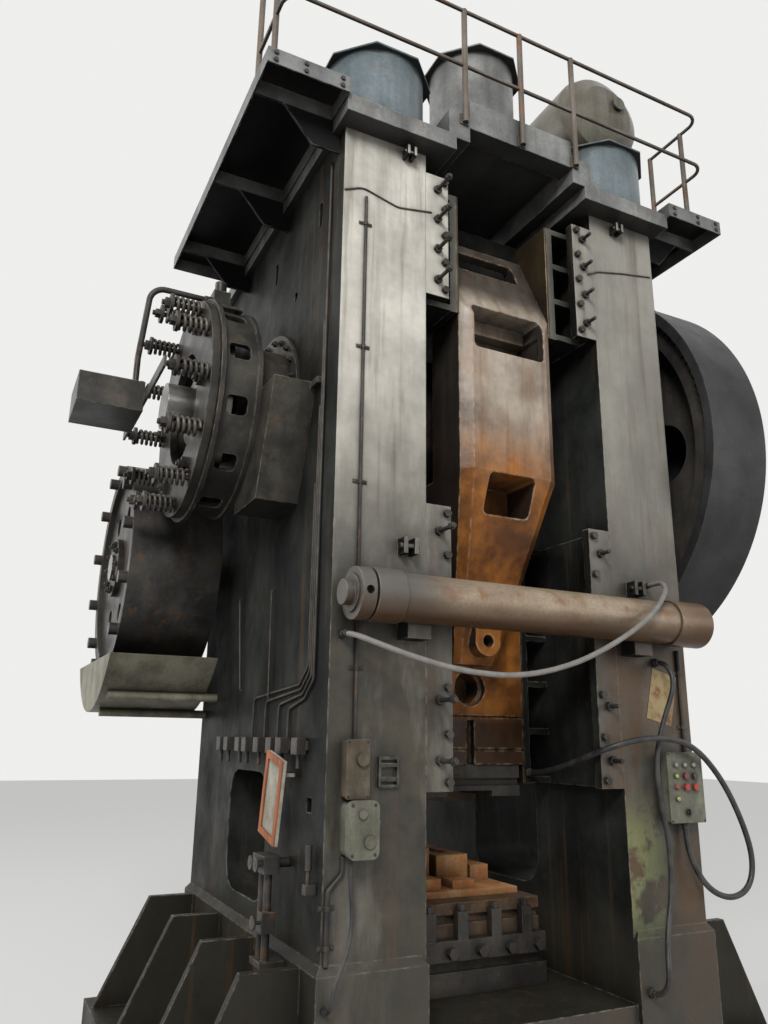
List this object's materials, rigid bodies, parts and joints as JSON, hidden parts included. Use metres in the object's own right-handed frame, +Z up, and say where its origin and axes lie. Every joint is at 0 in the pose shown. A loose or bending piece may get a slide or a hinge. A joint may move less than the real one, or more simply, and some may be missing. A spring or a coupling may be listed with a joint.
{
  "type": "hot forging press",
  "caption": "Crank forging press: two-column frame, sliding ram with dies, sprung shaft brake, ring gear drive, tie rods and service platforms.",
  "frame": {"origin": "middle of the foundation face under the bed", "axes": "+Z up the columns, -Y towards the operator's side, +X to the gear side"},
  "size_m": [5.705, 4.9325, 9.395],
  "materials": {
    "frame_paint": "worn light grey paint under oil and soot",
    "cap_paint": "worn blue-grey paint",
    "rail_paint": "rusty grey paint",
    "receiver_paint": "dusty tan paint",
    "gib_paint": "oily dark paint",
    "guard_paint": "dark sheet, oily",
    "tray_paint": "dusty sheet",
    "box_paint": "worn grey-green paint",
    "bronze": "oiled bronze",
    "black_steel": "oily steel",
    "bar_steel": "turned steel, browned",
    "machined_steel": "turned and oiled",
    "rusty_steel": "orange-brown heat scale over worn grey",
    "die_steel": "scaled die steel",
    "hot_die": "orange scale",
    "black_plastic": "smooth",
    "red_plastic": "smooth",
    "board_wood": "painted wood frame round a pale sheet",
    "grey_hose": "dusty rubber",
    "black_hose": "matt rubber"
  },
  "bodies": {
    "frame": {"air_receiver": "receiver_paint", "balance_cylinder": "cap_paint", "bolster": "black_steel", "brake_bracket": "gib_paint", "brake_housing": "gib_paint", "brake_springs": "black_steel", "brake_studs": "black_steel", "brake_valve": "black_steel", "button_panel": "box_paint", "conduits": "black_steel", "crown_cap": "cap_paint", "die_clamps": "black_steel", "drip_tray": "tray_paint", "drop_hose": "black_hose", "frame_casting": "frame_paint", "front_tie_bolt": "bar_steel", "front_tie_nuts": "bar_steel", "gear_guard": "guard_paint", "gib_adjusters": "black_steel", "gib_bolts": "black_steel", "guide_liners": "bronze", "loop_hose": "black_hose", "lower_die_holder": "die_steel", "lower_dies": "hot_die", "lower_gib_left": "gib_paint", "lower_gib_right": "gib_paint", "main_bearings": "bronze", "notices": "board_wood", "nut_covers": "cap_paint", "oil_lines": "black_steel", "platforms": "cap_paint", "railing": "rail_paint", "receiving_bearings": "gib_paint", "shaft_end_box": "gib_paint", "starter_box": "box_paint", "starter_cable": "black_hose", "switch_box": "box_paint", "tie_hose": "grey_hose", "tie_rod_nuts": "black_steel", "tie_rods": "black_steel", "upper_gib_left": "gib_paint", "upper_gib_right": "gib_paint"},
    "crank": {"eccentric_shaft": "machined_steel", "brake_disc": "machined_steel", "clutch_hub": "black_steel"},
    "rod": {"connecting_rod": "gib_paint", "wrist_pin": "machined_steel"},
    "ram": {"slide": "rusty_steel", "upper_die_holder": "black_steel", "upper_dies": "die_steel"},
    "gear": {"gear_wheel": "black_steel"},
    "drive": {"pinion_shaft": "machined_steel", "rear_drum": "gib_paint"},
    "brake_plate": {"pressure_ring": "gib_paint"},
    "start": {"button_start": "black_plastic"},
    "inch": {"button_inch": "black_plastic"},
    "mode": {"button_mode": "black_plastic"},
    "stop": {"button_stop": "red_plastic"},
    "selector": {"selector_knob": "black_plastic"},
    "lever": {"starter_lever": "box_paint"}
  },
  "joints": [
    {"name": "shaft_turn", "type": "hinge", "parent": "frame", "child": "crank", "pos_m": [0, 0, 5.2], "axis": [1, 0, 0], "continuous": true},
    {"name": "rod_pivot", "type": "hinge", "parent": "crank", "child": "rod", "pos_m": [0, 0, 5.375], "axis": [1, 0, 0], "continuous": true},
    {"name": "slide_travel", "type": "slide", "parent": "frame", "child": "ram", "axis": [0, 0, 1], "range_m": [-0.35, 0]},
    {"name": "gear_turn", "type": "hinge", "parent": "frame", "child": "gear", "pos_m": [2.14, 0, 5.2], "axis": [1, 0, 0], "continuous": true},
    {"name": "drive_turn", "type": "hinge", "parent": "frame", "child": "drive", "pos_m": [0, 1.8, 4.11834], "axis": [1, 0, 0], "continuous": true},
    {"name": "brake_release", "type": "slide", "parent": "frame", "child": "brake_plate", "axis": [-1, 0, 0], "range_m": [0, 0.004], "stiffness_N_per_m": 4000000, "springref_m": -0.01, "deforming": ["brake_springs"]},
    {"name": "start_press", "type": "slide", "parent": "frame", "child": "start", "axis": [0, 1, 0], "range_m": [0, 0.006], "stiffness_N_per_m": 900, "springref_m": -0.003},
    {"name": "inch_press", "type": "slide", "parent": "frame", "child": "inch", "axis": [0, 1, 0], "range_m": [0, 0.006], "stiffness_N_per_m": 900, "springref_m": -0.003},
    {"name": "mode_press", "type": "slide", "parent": "frame", "child": "mode", "axis": [0, 1, 0], "range_m": [0, 0.006], "stiffness_N_per_m": 900, "springref_m": -0.003},
    {"name": "stop_press", "type": "slide", "parent": "frame", "child": "stop", "axis": [0, 1, 0], "range_m": [0, 0.006], "stiffness_N_per_m": 900, "springref_m": -0.003},
    {"name": "selector_turn", "type": "hinge", "parent": "frame", "child": "selector", "pos_m": [1.389, -1.705, 1.989], "axis": [0, 1, 0], "range_deg": [-45, 45]},
    {"name": "lever_turn", "type": "hinge", "parent": "frame", "child": "lever", "pos_m": [-1.259, -1.676, 1.99], "axis": [1, 0, 0], "range_deg": [-35, 35]}
  ],
  "couplings": [
    {"joint": "rod_pivot", "follows": "shaft_turn", "ratio": -1},
    {"joint": "drive_turn", "follows": "gear_turn", "ratio": -6}
  ]
}
